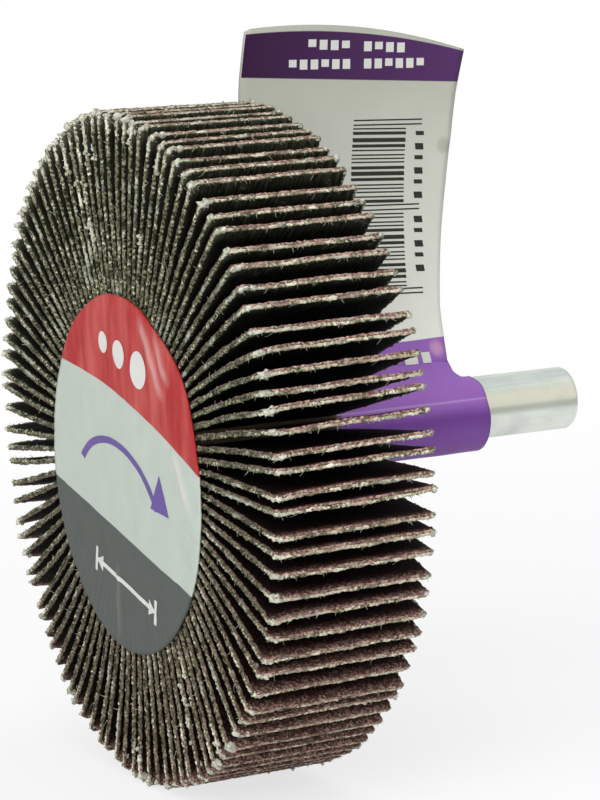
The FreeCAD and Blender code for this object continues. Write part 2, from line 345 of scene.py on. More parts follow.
def backing_cloth():
    """Stiff cloth backing, nearly black olive, with a twill weave and pale lint."""
    s = new_material("backing_cloth", 0.95, specular=0.06)
    place = s.place()
    cloth = s.cloth_map()
    axes = s.axes(cloth)
    twill = s.math("SINE", s.times(s.plus(axes["X"], axes["Y"]), 16.0))
    yarn = s.math("SINE", s.times(axes["X"], 15.5))
    streak = s.noise(s.stretch(cloth, (3.2, 0.35, 1.0)), 1.0, 3.0, 0.6)
    blot = s.noise(place, 420.0, 3.0, 0.6)
    colour = s.mix(s.ramp(streak, 0.35, 0.7), (0.009, 0.011, 0.007, 1), (0.055, 0.06, 0.038, 1))
    colour = s.mix(s.times(s.ramp(blot, 0.5, 0.75), 0.5), colour, (0.02, 0.022, 0.016, 1))
    lint = s.use(LINT, Point=place, Amount=0.5, Spread=620.0)["Mask"]
    colour = s.mix(s.times(lint, 0.45), colour, (0.25, 0.26, 0.17, 1))
    edge = s.attribute("crest")
    colour = s.mix(s.times(edge, 0.6), colour, (0.3, 0.3, 0.22, 1))
    # Painted shade: the backing darker the further in between the flaps.
    colour = s.mix(1.0, colour, s.use(DEPTH, Height=axes["Y"])["Shade"], "MULTIPLY")
    height = s.plus(s.times(twill, 0.22), s.times(yarn, 0.3))
    height = s.plus(height, s.noise(place, 2400.0, 3.0, 0.6))
    return s.coat(colour, height, 0.7, 0.00006)


def abrasive_grain():
    """Brown fused grain in resin: dark maroon, sharp little grains that catch the light."""
    s = new_material("abrasive_grain", 0.85, specular=0.08)
    place = s.place()
    grains = s.cells(place, 5200.0)
    tone = s.cells(place, 5200.0, output="Color")
    clump = s.noise(place, 900.0, 3.0, 0.6)
    light = s.ramp(s.axes(tone)["X"], 0.3, 1.0)
    height = s.axes(s.cloth_map())["Y"]
    fibre = s.noise(s.stretch(s.cloth_map(), (5.0, 1.1, 1.0)), 1.0, 3.0, 0.65)
    # Paler towards the rim: partly wear of the grain, partly painted shade that keeps it dark deeper
    # between the flaps.
    worn = s.plus(s.ramp(height, RIM - 1.5, RIM + 0.1), s.swing(fibre, 0.9))
    worn = s.times(worn, s.ramp(height, RIM - 2.4, RIM - 0.4), clamp=True)
    dull = s.mix(light, (0.016, 0.006, 0.005, 1), (0.06, 0.026, 0.021, 1))
    bright = s.mix(light, (0.1, 0.05, 0.042, 1), (0.4, 0.26, 0.215, 1))
    colour = s.mix(worn, dull, bright)
    # Painted shade: the grain darker the further in between the flaps.
    colour = s.mix(1.0, colour, s.use(DEPTH, Height=height)["Shade"], "MULTIPLY")
    height = s.plus(grains, s.times(clump, 0.6))
    return s.coat(colour, height, 0.9, 0.00012)


def cut_cloth():
    """Cut edge of the cloth: cream yarn ends with dark hollows between them."""
    s = new_material("cut_cloth", 0.95, specular=0.2)
    place = s.place()
    crest = s.attribute("crest")
    fleck = s.noise(place, 3800.0, 2.0, 0.6)
    soot = s.noise(place, 300.0, 3.0, 0.6)
    pale = s.mix(s.ramp(soot, 0.3, 0.7), (0.42, 0.41, 0.28, 1), (0.8, 0.77, 0.62, 1))
    amount = s.plus(crest, s.swing(fleck, 2.4))
    colour = s.mix(s.ramp(amount, 0.0, 0.5), (0.016, 0.019, 0.01, 1), (0.14, 0.145, 0.085, 1))
    colour = s.mix(s.ramp(amount, 0.45, 1.0), colour, pale)
    lint = s.use(LINT, Point=place, Amount=0.75, Spread=240.0)["Mask"]
    rosy = s.times(s.ramp(s.axes(s.cloth_map())["Y"], RIM - 0.6, RIM - 0.2, 0.0, 0.45),
                   s.ramp(s.noise(place, 900.0, 2.0, 0.6), 0.4, 0.62))
    colour = s.mix(rosy, colour, (0.46, 0.32, 0.26, 1))
    lint = s.math("MAXIMUM", s.times(lint, 0.8), s.ramp(crest, 0.9, 1.5, 0.0, 0.7))
    colour = s.mix(lint, colour, (0.5, 0.54, 0.44, 1))
    return s.coat(colour, s.noise(place, 5200.0, 2.0, 0.6), 0.8, 0.00006)


def cut_grain():
    """Cut edge of the grain coat: broken red-brown grains."""
    s = new_material("cut_grain", 0.7, specular=0.4)
    place = s.place()
    crest = s.attribute("crest")
    tone = s.axes(s.cells(place, 4600.0, output="Color"))["X"]
    amount = s.times(s.ramp(tone, 0.2, 0.95), s.plus(crest, 0.25))
    rim = s.ramp(s.axes(s.cloth_map())["Y"], RIM - 1.4, RIM - 0.3)
    dark = s.mix(rim, (0.06, 0.04, 0.026, 1), (0.115, 0.055, 0.042, 1))
    light = s.mix(rim, (0.36, 0.27, 0.2, 1), (0.54, 0.355, 0.29, 1))
    colour = s.mix(amount, dark, light)
    lint = s.use(LINT, Point=place, Amount=0.45, Spread=300.0)["Mask"]
    colour = s.mix(s.times(lint, 0.6), colour, (0.62, 0.58, 0.48, 1))
    return s.coat(colour, s.cells(place, 4600.0), 0.9, 0.0001)


def loose_fibre():
    """Frayed cotton: pale grey-green threads and tufts."""
    s = new_material("loose_fibre", 0.98, specular=0.15)
    place = s.place()
    tone = s.noise(place, 700.0, 2.0, 0.6)
    colour = s.mix(s.ramp(tone, 0.3, 0.7), (0.3, 0.31, 0.23, 1), (0.56, 0.58, 0.47, 1))
    matted = s.mix(s.ramp(s.noise(place, 3000.0, 3.0, 0.6), 0.35, 0.6), (0.34, 0.35, 0.26, 1),
                   (0.7, 0.71, 0.6, 1))
    colour = s.mix(s.attribute("crest"), colour, matted)
    return s.coat(colour, s.noise(place, 4800.0, 3.0, 0.7), 1.0, 0.00025)


def cast_resin():
    """Brown cast resin, cloudy and pitted."""
    s = new_material("cast_resin", 0.5, specular=0.5)
    place = s.place()
    cloud = s.noise(place, 180.0, 4.0, 0.6)
    pits = s.cells(place, 900.0)
    colour = s.mix(s.ramp(cloud, 0.3, 0.7), (0.09, 0.06, 0.03, 1), (0.2, 0.14, 0.075, 1))
    lint = s.use(LINT, Point=place, Amount=0.3, Spread=300.0)["Mask"]
    colour = s.mix(s.times(lint, 0.3), colour, (0.4, 0.36, 0.27, 1))
    s.feed(s.surface["Roughness"], s.ramp(cloud, 0.2, 0.8, 0.35, 0.7))
    return s.coat(colour, s.plus(cloud, s.ramp(pits, 0.0, 0.25)), 0.4, 0.0002)


def satin_steel():
    """Drawn steel, satin and a little stained, with a painted warm reflection streak and a painted
    dark line.
    """
    s = new_material("satin_steel", 0.5, metallic=1.0)
    place = s.place()
    drawn = s.noise(s.stretch(place, (1500.0, 40.0, 1500.0)), 1.0, 4.0, 0.65)
    streak_breakup = s.noise(s.stretch(place, (330.0, 9.0, 330.0)), 1.0, 2.0, 0.5)
    cloud = s.noise(place, 260.0, 4.0, 0.6)
    colour = s.mix(s.ramp(drawn, 0.35, 0.65), (0.6, 0.66, 0.62, 1), (0.74, 0.79, 0.735, 1))
    z = s.millimetres("Z")
    along = s.millimetres("Y")
    side = s.ramp(along, SPINDLE_END - 0.1, SPINDLE_END - 0.3)
    # Painted reflection: a warm streak along the spindle's side, broken up in patches.
    painted_warm_reflection = s.times(s.stripe(z, 0.9, 1.3, 0.2), s.ramp(streak_breakup, 0.3, 0.6, 0.45, 1.0))
    colour = s.mix(s.times(painted_warm_reflection, side), colour, (0.8, 0.77, 0.62, 1))
    # Painted reflection: a dark line where the reflected horizon lies.
    painted_dark_line = s.times(s.stripe(z, -0.1, 0.5, 0.1, 0.5), side)
    colour = s.mix(painted_dark_line, colour, (0.34, 0.34, 0.25, 1))
    # Painted reflection of the floor: paler on the spindle's lower side.
    under = s.times(s.ramp(z, -0.3, -0.9, 0.0, 0.65), side)
    colour = s.mix(under, colour, (0.88, 0.92, 0.86, 1))
    colour = s.mix(s.ramp(cloud, 0.45, 0.7, 0.0, 0.35), colour, (0.52, 0.56, 0.52, 1))
    # Darker olive at the rounded end, more so towards its top.
    dark_end = s.times(s.ramp(along, SPINDLE_END - 0.5, SPINDLE_END - 0.2, 0.0, 0.4),
                       s.ramp(z, -0.8, 0.6))
    colour = s.mix(dark_end, colour, (0.34, 0.36, 0.28, 1))
    s.feed(s.surface["Roughness"], s.ramp(s.plus(drawn, cloud), 0.7, 1.3, 0.46, 0.6))
    return s.coat(colour, s.plus(drawn, cloud), 0.3, 0.00004)


RED_INK = (0.34, 0.016, 0.018, 1)
LIGHT_INK = (0.44, 0.49, 0.44, 1)
GREY_INK = (0.072, 0.083, 0.077, 1)
PURPLE_INK = (0.27, 0.115, 0.42, 1)
SHADED_PURPLE = (0.14, 0.045, 0.25, 1)
LOWER_LIT_PURPLE = (0.2, 0.075, 0.33, 1)


def label_print():
    """Label paper in three printed fields: red, light grey and dark grey, each with a tilted edge."""
    s = new_material("label_print", 0.6, specular=0.22)
    place = s.place()
    x = s.millimetres("X")
    z = s.millimetres("Z")
    red = s.above(z, s.line(s.times(x, x), -0.0059, s.line(x, -0.269, 4.86)))
    grey = s.above(s.line(x, -0.262, -8.29), z)
    brushed = s.noise(s.stretch(place, (420.0, 420.0, 90.0)), 1.0, 3.0, 0.6)
    red_ink = s.mix(s.ramp(brushed, 0.35, 0.7), RED_INK, (0.46, 0.08, 0.07, 1))
    ink = s.mix(red, LIGHT_INK, red_ink)
    ink = s.mix(grey, ink, GREY_INK)
    paper = s.use(PAPER, Point=place, Ink=ink, Mottle=0.16)
    fold = s.attribute("crest")
    shown = s.times(fold, s.ramp(grey, 0.0, 1.0, 0.35, 0.07))
    colour = s.mix(shown, paper["Ink"], (0.78, 0.64, 0.62, 1))
    return s.coat(colour, paper["Height"], 0.25, 0.0002)


def plain_ink(name, ink, roughness=0.45, mottle=0.1):
    """One flat printing ink or bare paper, on the shared paper surface."""
    s = new_material(name, roughness, specular=0.2)
    paper = s.use(PAPER, Point=s.place(), Ink=ink, Mottle=mottle)
    return s.coat(paper["Ink"], paper["Height"], 0.25, 0.0002)


def tag_print():
    """Tag card, grey-white, with a purple band along the top and a purple lower part, all graded by
    painted shade.
    """
    s = new_material("tag_print", 0.55, specular=0.2)
    place = s.place()
    y = s.millimetres("Y")
    z = s.millimetres("Z")
    along = s.line(y, 1 / TAG_WIDTH, -TAG_LEFT / TAG_WIDTH)
    bare = s.line(s.times(along, along), -3.98, s.line(along, 1.25, 36.6))
    band = s.times(s.above(z, s.line(y, -0.069, 33.75)), s.above(bare, z))
    low = s.above(s.line(y, 0.023, 6.3), z)
    # Painted shade: the card darker towards its top.
    card = s.mix(s.ramp(z, 8.0, 34.0, smooth=False), (0.7, 0.71, 0.65, 1), (0.38, 0.39, 0.33, 1))
    ink = s.mix(s.spot(y, z, (37.3, 25.0), 1.1, 0.35), card, (0.16, 0.17, 0.12, 1))
    # Painted shade: the band's purple darker towards its left.
    violet = s.mix(s.ramp(along, 0.0, 1.0, smooth=False), (0.028, 0.005, 0.036, 1),
                   (0.075, 0.024, 0.11, 1))
    ink = s.mix(band, ink, violet)
    # Painted shade and light on the purple: lighter above the crease, darker just below it, and
    # lighter again towards the bottom.
    purple = s.mix(s.ramp(z, -0.4, 1.2), SHADED_PURPLE, PURPLE_INK)
    purple = s.mix(s.ramp(z, -0.3, -2.6), purple, LOWER_LIT_PURPLE)
    ink = s.mix(low, ink, purple)
    # Painted highlight: a pinkish gleam on the purple near the sheet's lower right corner.
    gleam = s.times(s.spot(y, z, (32.7, 6.1), 0.9, 0.6), low)
    ink = s.mix(gleam, ink, (0.58, 0.33, 0.44, 1))
    ink = s.mix(s.stripe(z, 1.25, 0.16, 0.02, 0.3), ink, (0.6, 0.45, 0.68, 1))
    paper = s.use(PAPER, Point=place, Ink=ink, Mottle=0.1)
    edge = s.attribute("crest")
    colour = s.mix(edge, paper["Ink"], (0.62, 0.62, 0.58, 1))
    return s.coat(colour, paper["Height"], 0.25, 0.0002)


BACKING = backing_cloth()
GRAIN = abrasive_grain()
CUT_CLOTH = cut_cloth()
CUT_GRAIN = cut_grain()
FIBRE = loose_fibre()
RESIN = cast_resin()
STEEL = satin_steel()
LABEL = label_print()
WHITE_INK = plain_ink("white_ink", (0.6, 0.6, 0.57, 1))
PURPLE = plain_ink("purple_ink", (0.1, 0.06, 0.26, 1))
BLACK_INK = plain_ink("black_ink", (0.02, 0.021, 0.017, 1))
CARD = tag_print()
CARD_EDGE = plain_ink("card_edge", (0.42, 0.42, 0.38, 1), 0.85)

# Flaps. A straight flap is shaped first: X across its thickness, Y along the wheel's axis and
# Z outwards. Its parts are the cloth sheet, the frayed rim, the beaded front and rear edges,
# loose threads and tufts. Copies of it are then bowed into their places round the wheel.
CLOTH, GRIT, YARN, BROKEN, TUFT = range(5)


def add_part(bm, part, material, crest=None):
    """Join a part to the flap, with its material and the share of pale fibre at each point."""
    layer = part.verts.layers.float.new("crest")
    for vert in part.verts:
        vert[layer] = crest(vert.co) if crest else 0.0
    if material is not None:
        for face in part.faces:
            face.material_index = material
    uv = part.loops.layers.uv.new("cloth")
    for face in part.faces:
        for loop in face.loops:
            loop[uv].uv = (loop.vert.co.y, loop.vert.co.z)
    pour(part, bm)


def cord_part(length, radius, sides, rings, taper=1.0):
    """A many-ringed cord standing along Z from 0 to its length, ready to be roughened."""
    part = bmesh.new()
    bmesh.ops.create_cone(part, cap_ends=True, cap_tris=False, segments=sides, radius1=radius,
                          radius2=radius * taper, depth=length,
                          matrix=Matrix.Translation((0, 0, length / 2)))
    lengthways = [edge for edge in part.edges
                  if abs(edge.verts[0].co.z - edge.verts[1].co.z) > length / 2]
    bmesh.ops.subdivide_edges(part, edges=lengthways, cuts=rings)
    return part


def sheet_part(seed):
    """The cloth sheet itself, with its backing on one face and its grain on the other."""
    part = new_grid(22, 14)
    for vert in part.verts:
        across = vert.co.x + 0.5
        up = 1 - (1 - (vert.co.y + 0.5)) ** 1.5
        vert.co = Vector((0, EDGE_INSET + (WIDTH - 2 * EDGE_INSET) * across,
                          SLOT_FLOOR + 0.05 + (RIM - 0.2 - SLOT_FLOOR) * up))
    part.normal_update()
    bmesh.ops.solidify(part, geom=part.faces, thickness=CLOTH_THICKNESS)
    middle = sum(vert.co.x for vert in part.verts) / len(part.verts)
    bmesh.ops.translate(part, verts=part.verts, vec=(-middle, 0, 0))
    face_out(part)
    for face in part.faces:
        side = face.normal.x
        face.material_index = CLOTH if side > 0.5 else GRIT if side < -0.5 else YARN
    for vert in part.verts:
        vert.co.x += 0.05 * wobble(vert.co.y * 0.7, vert.co.z * 0.7, seed * 9.1)
    return part


def rim_part(seed, side, radius, raggedness):
    """One strip of the cut rim, laid along the axis: flat outwards, ragged at its sides."""
    part = cord_part(WIDTH - 0.4, radius, 6, 84)
    for vert in part.verts:
        along = vert.co.z
        turn = math.atan2(vert.co.y, vert.co.x)
        rough = 1 + raggedness * wobble(along * 3.4, turn, seed * 3.7)
        rough += 0.6 * raggedness * wobble(along * 9.0, turn * 2, seed * 5.3)
        drift = 0.05 * wobble(along * 0.9, seed * 2.1, side * 4)
        lift = 0.05 * wobble(along * 4.4, turn, seed * 1.7)
        vert.co = Vector((side + vert.co.x * rough + drift, 0.2 + along,
                          RIM - 0.16 + vert.co.y * 0.5 * rough + lift))
    return part


def edge_part(seed, axial, side, radius, beads, rings):
    """A beaded cut edge standing along the flap's height at the front or the rear."""
    length = RIM - 0.5 - SLOT_FLOOR
    part = cord_part(length, radius, 6, rings)
    for vert in part.verts:
        up = vert.co.z
        turn = math.atan2(vert.co.y, vert.co.x)
        phase = up / YARN_PITCH + 0.8 * wobble(up * 0.8, seed * 4.4, axial) + turn * 0.12
        bead = abs(math.sin(math.pi * phase))
        swell = 0.8 + beads * 0.3 * bead + 0.7 * wobble(up * 3.7, turn, seed * 6.2)
        drift = 0.1 * wobble(up * 1.3, seed * 8.8, side) + 0.05 * wobble(up * 4.1, seed, side)
        vert.co = Vector((side + vert.co.x * swell * 0.95 + drift, axial + vert.co.y * swell,
                          EDGE_FOOT + up))
    return part


def thread_part(dice, start, lean, length, radius):
    """One loose thread: a thin tapering cord that curls away from where it starts."""
    part = cord_part(length, radius, 3, 3, taper=0.4)
    curl = Vector((dice.uniform(-1, 1), dice.uniform(-1, 1), 0)) * 0.7 / length
    for vert in part.verts:
        vert.co += curl * vert.co.z ** 2
    turn = Vector((0, 0, 1)).rotation_difference(lean.normalized())
    bmesh.ops.rotate(part, verts=part.verts, cent=(0, 0, 0), matrix=turn.to_matrix())
    bmesh.ops.translate(part, verts=part.verts, vec=start)
    return part


def tuft_part(dice, centre, radius):
    """A knot of matted fibre."""
    part = bmesh.new()
    bmesh.ops.create_icosphere(part, subdivisions=2, radius=radius)
    seed = dice.uniform(0, 90)
    stretch = Vector((dice.uniform(0.6, 0.95), dice.uniform(0.7, 1.4), dice.uniform(0.7, 1.3)))
    for vert in part.verts:
        lump = wobble(vert.co.x * 1.7 / radius, vert.co.y * 1.7 / radius,
                      vert.co.z * 1.7 / radius + seed)
        vert.co *= 1 + 0.7 * lump
        vert.co = centre + vert.co * stretch
    return part


def straight_flap(seed):
    """One flap before it is bowed, with its own pattern of fraying."""
    dice = random.Random(seed)
    pick = dice.uniform
    bm = bmesh.new()

    def near_cut(point):
        """Fluffier close to the rim and the front edge."""
        rim = 1 - min(1.0, (RIM - point.z) / 0.5)
        front = 1 - min(1.0, point.y / 0.5)
        return max(0.0, rim, front) ** 2 * 0.6

    def corner_glow(point):
        """Paler where a flap's front corner is worn to bare fibre."""
        away = math.hypot(point.y, (RIM - point.z) * 0.8)
        return 0.45 * max(0.0, 1 - away / 2.4)

    def rim_yarn(point):
        patch = 0.64 + 0.6 * wobble(point.y * 1.1, seed * 3.1, 0)
        patch += 0.4 * wobble(point.y * 6, 0, seed)
        return patch + corner_glow(point)

    def rim_grain(point):
        patch = 0.45 + 0.5 * wobble(point.y * 1.3, seed * 5.1, 2)
        patch += 0.5 * wobble(point.y * 8, point.x * 9, seed)
        return patch + 0.6 * corner_glow(point)

    def yarn_ends(point):
        bead = abs(math.sin(math.pi * (point.z - EDGE_FOOT) / YARN_PITCH))
        patch = 0.4 + 0.45 * wobble(point.z * 0.8, seed * 7.7, 0.0)
        patch += 0.5 * wobble(point.z * 4.6, point.x * 6, seed * 1.1)
        return patch * (0.55 + 0.45 * bead) + corner_glow(point)

    def grain_ends(point):
        return 0.2 + 0.6 * wobble(point.z * 3.3, seed * 2.9, 1.0)

    add_part(bm, sheet_part(seed), None, near_cut)
    add_part(bm, rim_part(seed, 0.12, 0.155, 0.8), YARN, rim_yarn)
    add_part(bm, rim_part(seed + 40, -0.12, 0.13, 0.8), BROKEN, rim_grain)
    add_part(bm, edge_part(seed, 0.14, 0.06, 0.175, 1.0, 130), YARN, yarn_ends)
    add_part(bm, edge_part(seed + 60, 0.16, -0.16, 0.14, 0.6, 80), BROKEN, grain_ends)
    add_part(bm, edge_part(seed + 80, WIDTH - 0.14, 0.02, 0.2, 0.8, 60), YARN, yarn_ends)

    def fray(count, place, lean_low, lean_high, shortest, longest):
        """A run of short loose threads, each leaning its own way."""
        for _ in range(count):
            start = Vector(place())
            lean = Vector(pick(low, high) for low, high in zip(lean_low, lean_high))
            length = pick(shortest, longest) * pick(0.5, 1.0)
            add_part(bm, thread_part(dice, start, lean, length, pick(0.03, 0.05)), TUFT)

    fray(26, lambda: (pick(0.1, 0.25), pick(0.3, WIDTH - 0.2), RIM - 0.15),
         (0.0, -0.8, -0.9), (1.0, 0.8, 0.2), 0.2, 0.5)
    fray(1, lambda: (0.2, pick(0.3, WIDTH - 0.2), RIM - 0.15),
         (0.2, -0.5, -1.0), (0.8, 0.5, -0.2), 0.7, 1.0)
    fray(9, lambda: (pick(-0.1, 0.2), 0.1, pick(16, RIM - 0.4)),
         (-0.8, -0.5, -0.8), (1.0, 0.1, 0.8), 0.25, 0.7)
    worn = pick(0.25, 1.0)
    fray(12, lambda: (pick(-0.1, 0.25), pick(0.05, 0.8),
                      RIM - pick(0.1, 0.9)),
         (-0.6, -1.0, -0.6), (1.0, 0.3, 1.0), 0.2, 0.3 + 0.25 * worn)
    fray(8, lambda: (pick(-0.1, 0.25), WIDTH - 0.1, RIM - pick(0.1, 0.8)),
         (-0.6, -0.1, -0.4), (0.8, 1.0, 1.0), 0.2, 0.36)

    def knot(y_low, y_high, drop_low, drop_high, small, large):
        """A knot of fibre on the rim or a corner, somewhere within these places."""
        centre = Vector((pick(-0.1, 0.14), pick(y_low, y_high),
                         RIM - pick(drop_low, drop_high)))
        add_part(bm, tuft_part(dice, centre, pick(small, large)), TUFT, lambda point: 1.0)

    knot(0.1, 0.4, 0.2, 0.45, 0.24, 0.28 + 0.22 * worn)
    knot(0.2, 0.9, 0.1, 0.4, 0.12, 0.24)
    if worn > 0.55:
        knot(0.5, 1.6, 0.1, 0.3, 0.18, 0.34)
        knot(0.1, 0.35, 0.7, 1.8, 0.15, 0.28)
    knot(1.5, WIDTH - 1, 0.1, 0.3, 0.12, 0.28)
    knot(WIDTH - 0.4, WIDTH - 0.15, 0.15, 0.5, 0.17, 0.3)
    return bm


def round_corners(point):
    """Draw the flap's two outer corners, front and rear, in to a small radius."""
    for corner, inward, radius in ((0.0, 1, 0.7), (WIDTH, -1, 0.35)):
        centre_y = corner + inward * radius
        centre_z = RIM - radius
        beyond_y = inward * (centre_y - point.y)
        beyond_z = point.z - centre_z
        if beyond_y > 0 and beyond_z > 0:
            share = max(beyond_y, beyond_z) / math.hypot(beyond_y, beyond_z)
            point.y = centre_y - inward * beyond_y * share
            point.z = centre_z + beyond_z * share
    return point


def scatter(number, seed):
    """The same repeatable stray from -1 to 1 as the solids use."""
    value = math.sin(number * 12.9898 + seed * 78.233) * 43758.5453
    return 2 * (value - math.floor(value)) - 1


def swell_round(number, waves, shift):
    """A slow swell of whole waves round the wheel, from -1 to 1."""
    return math.sin(2 * math.pi * (waves * number / FLAP_COUNT + shift))


# Pale patches of matted lint on the wheel's front: X, Z and radius.
PATCHES = ((-4.4, 27.3, 1.5), (-9.4, 26.1, 1.1), (-6.3, 22.8, 1.0), (-4.6, 19.2, 0.8),
           (6.9, 18.7, 0.8), (5.6, 28.7, 1.1), (1.8, 29.4, 0.9), (11.3, 25.3, 0.8),
           (-0.3, -28.8, 1.2), (9.9, -18.5, 0.9), (9.9, -21.3, 1.0), (9.8, -24.2, 1.0),
           (15.4, -23.8, 1.2), (-23.1, -17.7, 0.7), (-20.5, 17.4, 0.45))


def lint_glow(patches, x, z):
    """How much lint lies at a place on the wheel's front."""
    most = 0.0
    for centre_x, centre_z, radius in patches:
        away = math.hypot(x - centre_x, z - centre_z) / radius
        if away < 2:
            most = max(most, math.exp(-away ** 2))
    return most * (0.6 + 0.9 * wobble(x * 1.3, z * 1.3, 6.0))


# Directions round the wheel, clockwise from the top in radians.
UPPER_LEFT = 5.75
LOWER_LEFT = 3.7
FORWARD_LEAN = 0.45


def bow_flap(bm, number):
    """Bow and twist a straight flap as its solid is, and stand it in its slot.

    The rim is worn a little less at the bottom, the upper left and the lower left, and the flaps
    at the top and the bottom lean forward.
    """
    tip_gap = 2 * math.pi * RIM / FLAP_COUNT - FLAP_THICKNESS
    lean = 0.65 + 0.55 * tip_gap * swell_round(number, 2, 0.1)
    lean += 0.3 * tip_gap * swell_round(number, 5, 0.35)
    front = lean + 0.24 * tip_gap * scatter(number, 1)
    rear = front - 0.35 + 0.12 * scatter(number, 2)
    trim = 0.3 * (0.5 + 0.5 * scatter(number, 3))
    curl = 0.3 * scatter(number, 4)
    angle = 2 * math.pi * number / FLAP_COUNT
    outward = Vector((math.sin(angle), 0, math.cos(angle)))
    clockwise = Vector((math.cos(angle), 0, -math.sin(angle)))
    height = RIM - CORE
    less_worn = 0.4 * max(0.0, math.cos(angle - UPPER_LEFT)) ** 6
    less_worn += 0.22 * max(0.0, math.cos(angle - LOWER_LEFT)) ** 6
    less_worn += 0.22 * (1 - math.cos(angle))
    forward = FORWARD_LEAN * math.cos(angle) ** 2
    crest = bm.verts.layers.float["crest"]
    near = [patch for patch in PATCHES
            if abs(patch[0] * clockwise.x + patch[1] * clockwise.z) < 2 * patch[2] + 1.5
            and patch[0] * outward.x + patch[1] * outward.z > 0]
    for vert in bm.verts:
        point = round_corners(vert.co.copy())
        share = max(0.0, (point.z - CORE) / height)
        tip = front + (rear - front) * point.y / WIDTH
        tilt = math.atan(2 * tip * share / height)
        sideways = tip * share ** 2 + point.x * math.cos(tilt)
        sideways += 0.11 * share * wobble(point.y * 0.22, point.z * 0.2, number * 3.17)
        if point.y < 3.0:
            sideways += curl * share ** 3 * (1 - point.y / 3.0) ** 2
        reach = point.z - point.x * math.sin(tilt) + (FRAYED_RIM - RIM - trim) * share
        reach += less_worn * share
        vert.co = outward * reach + clockwise * sideways
        if near and point.y < 0.7:
            vert[crest] += lint_glow(near, vert.co.x, vert.co.z)
        vert.co.y += point.y - forward * share


def add_lint(fan, patch):
    """A patch of lint: matted knots caught on the flaps' front edges."""
    x, z, radius = patch
    dice = random.Random(round(x * 10 + z))
    edge = [vert.co.copy() for vert in fan.verts
            if vert.co.y < 0.1 and math.hypot(vert.co.x - x, vert.co.z - z) < radius + 0.6]
    for _ in range(round(8 * radius)):
        add_part(fan, tuft_part(dice, dice.choice(edge), dice.uniform(0.1, 0.26)), TUFT,
                 lambda point: 0.4)


def build_flaps():
    """The fans of three flaps that stand for the solids' nodes, from seven patterns of flap."""
    patterns = [straight_flap(seed) for seed in range(1, 8)]
    for index in range(NODE_COUNT):
        fan = bmesh.new()
        first = index * FLAP_COUNT // NODE_COUNT
        final = (index + 1) * FLAP_COUNT // NODE_COUNT
        for number in range(first, final):
            flap = patterns[(number * 3 + number // 7) % len(patterns)].copy()
            bow_flap(flap, number)
            pour(flap, fan)
        for patch in PATCHES:
            turn = math.atan2(patch[0], patch[1]) % (2 * math.pi) / (2 * math.pi)
            if first <= turn * FLAP_COUNT < final:
                add_lint(fan, patch)
        finish_piece(fan, "flap_fan_%02d" % (index + 1),
                     (BACKING, GRAIN, CUT_CLOTH, CUT_GRAIN, FIBRE),
                     ["flaps_%02d" % (index + 1)])


# Front label: a thin paper disc that follows the flap edges under it, with generic marks.
LABEL_CENTRE = Vector((-0.45, 0, -2.35))
LABEL_RADIUS = 16.4
LABEL_THICKNESS = 0.16
INK_LIFT = 0.03
DISCS = (2.0, 8.2)
MEASURE = (-1.4, -12.6)
LABEL_FOLDS = (((5.2, 12.4), (9.6, 5.0), 0.5), ((8.2, 10.9), (10.9, 6.2), 0.45),
               ((-2.9, -10.4), (-3.4, -18.2), 0.4), ((10.8, 1.2), (13.6, -4.5), 0.45))


def fold_share(x, z):
    """How much of a fold's crest lies at a place on the label."""
    most = 0.0
    for (x0, z0), (x1, z1), width in LABEL_FOLDS:
        length = math.hypot(x1 - x0, z1 - z0)
        along = ((x - x0) * (x1 - x0) + (z - z0) * (z1 - z0)) / length
        off = ((x - x0) * (z1 - z0) - (z - z0) * (x1 - x0)) / length
        off += 0.25 * wobble(along * 0.5, x0, z0)
        ends = min(1.0, max(0.0, along / 1.5)) * min(1.0, max(0.0, (length - along) / 1.5))
        most = max(most, ends * math.exp(-(off / width) ** 2))
    return most


def label_height(x, z):
    """How far the label's front stands before the wheel's face."""
    radius = math.hypot(x, z)
    angle = math.atan2(x, z)
    height = 0.3 + 0.1 * wobble(x * 0.16, z * 0.16, 3.3) + 0.05 * wobble(x * 0.5, z * 0.5, 8.0)
    if radius > 12.5:
        edge = min(1.0, (radius - 12.5) / 3)
        height += 0.016 * edge * math.sin(angle * FLAP_COUNT)
        height += 0.06 * edge * wobble(angle * 3, radius * 0.3, 5.0)
    return height + 0.12 * fold_share(x, z)


def drape(bm, lift):
    """Lay a flat shape drawn in X and Z on the label's front."""
    for vert in bm.verts:
        vert.co.y = -label_height(vert.co.x, vert.co.z) - lift


def ringed_shape(corners, radius, cuts, rings):
    """A flat round or cornered shape, ringed finely enough to drape."""
    bm = bmesh.new()
    bmesh.ops.create_circle(bm, cap_ends=False, segments=corners, radius=radius)
    if cuts:
        bmesh.ops.subdivide_edges(bm, edges=bm.edges[:], cuts=cuts)
    ring = bm.edges[:]
    for step in range(rings):
        verts, ring = grow_ring(bm, ring)
        scale = (rings - step - 0.9) / (rings - step)
        bmesh.ops.scale(bm, vec=(scale, scale, 1), verts=verts)
    bmesh.ops.contextual_create(bm, geom=ring)
    return bm


